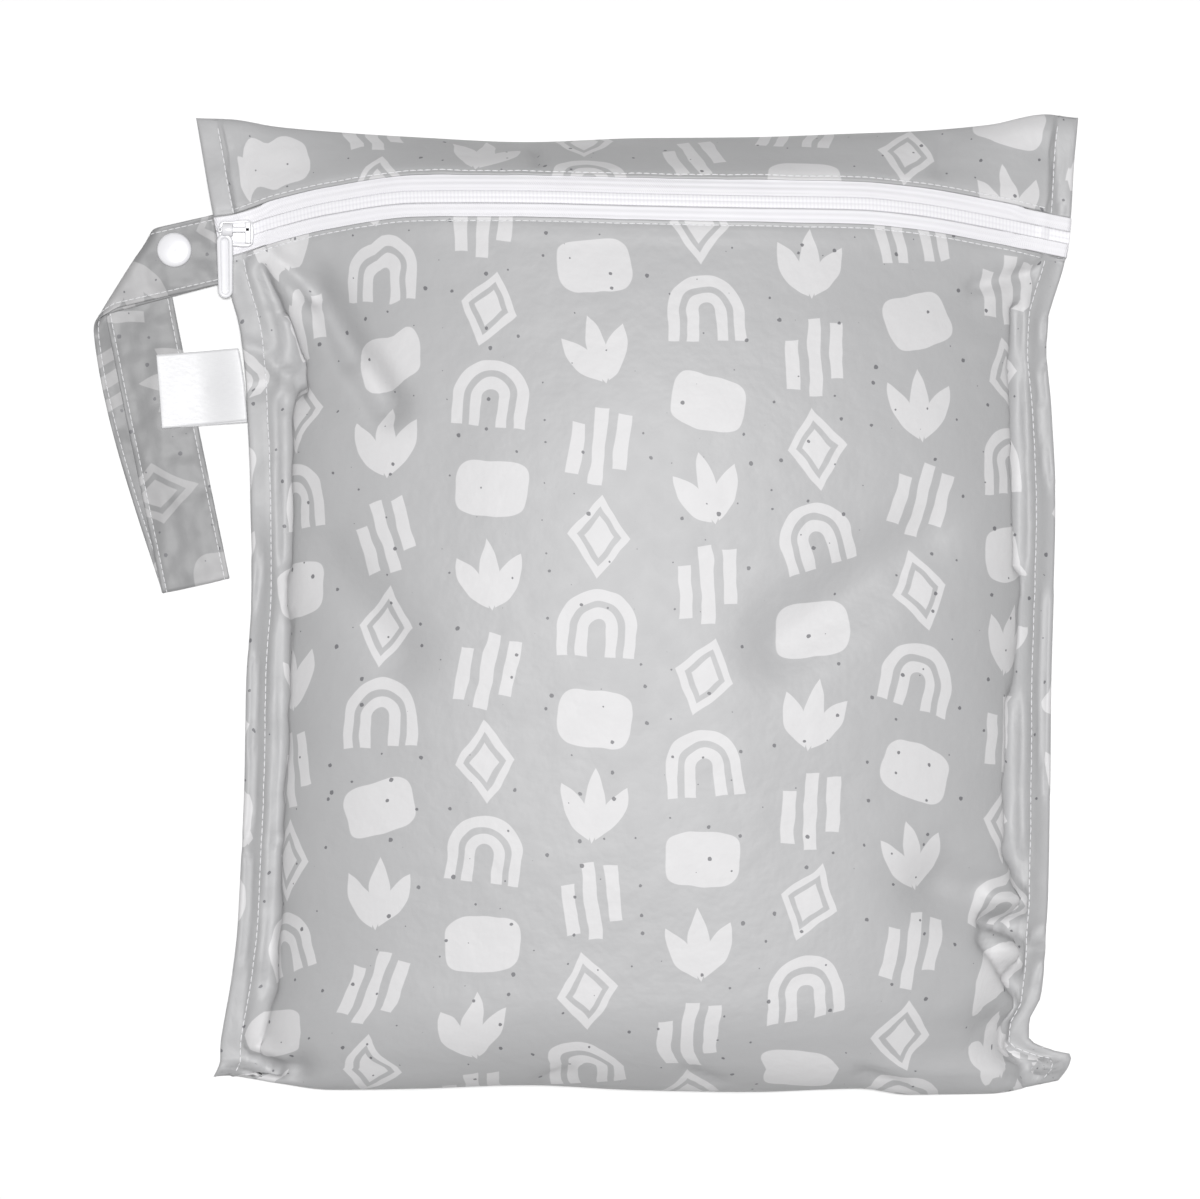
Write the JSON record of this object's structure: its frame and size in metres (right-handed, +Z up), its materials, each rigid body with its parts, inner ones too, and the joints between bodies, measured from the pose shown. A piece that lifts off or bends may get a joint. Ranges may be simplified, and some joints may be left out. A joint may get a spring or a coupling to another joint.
{
  "type": "cloth diaper wet bag",
  "caption": "Full, zipped cloth wet bag lying on its back, with topstitched side seams, a zipper near the top, a blank label and a folded snap strap at one side.",
  "frame": {"origin": "middle of the bag's flat back, on the surface that it lies on", "axes": "+X across the bag, away from the strap; +Y towards the zipper; +Z up from the surface, out of the bag's front"},
  "size_m": [0.3407, 0.34, 0.046],
  "materials": {
    "printed_cloth": "satin waterproof cloth, light grey with a pale print",
    "zipper_tape": "matte woven tape",
    "zipper_coil": "satin nylon",
    "white_plastic": "smooth moulded",
    "label_satin": "satin ribbon"
  },
  "bodies": {
    "bag": {"body_cloth": "printed_cloth", "zipper_tape_lower": "zipper_tape", "zipper_tape_upper": "zipper_tape", "zipper_coil": "zipper_coil", "zipper_slider": "white_plastic", "strap": "printed_cloth", "snap_cap": "white_plastic", "snap_back": "white_plastic", "label": "label_satin"},
    "pull": {"zipper_pull": "white_plastic"}
  },
  "joints": [
    {"name": "pull_swing", "type": "hinge", "parent": "bag", "child": "pull", "pos_m": [-0.14148, 0.12851, 0.0138], "axis": [-1, 0, 0], "range_deg": [0, 165]}
  ]
}
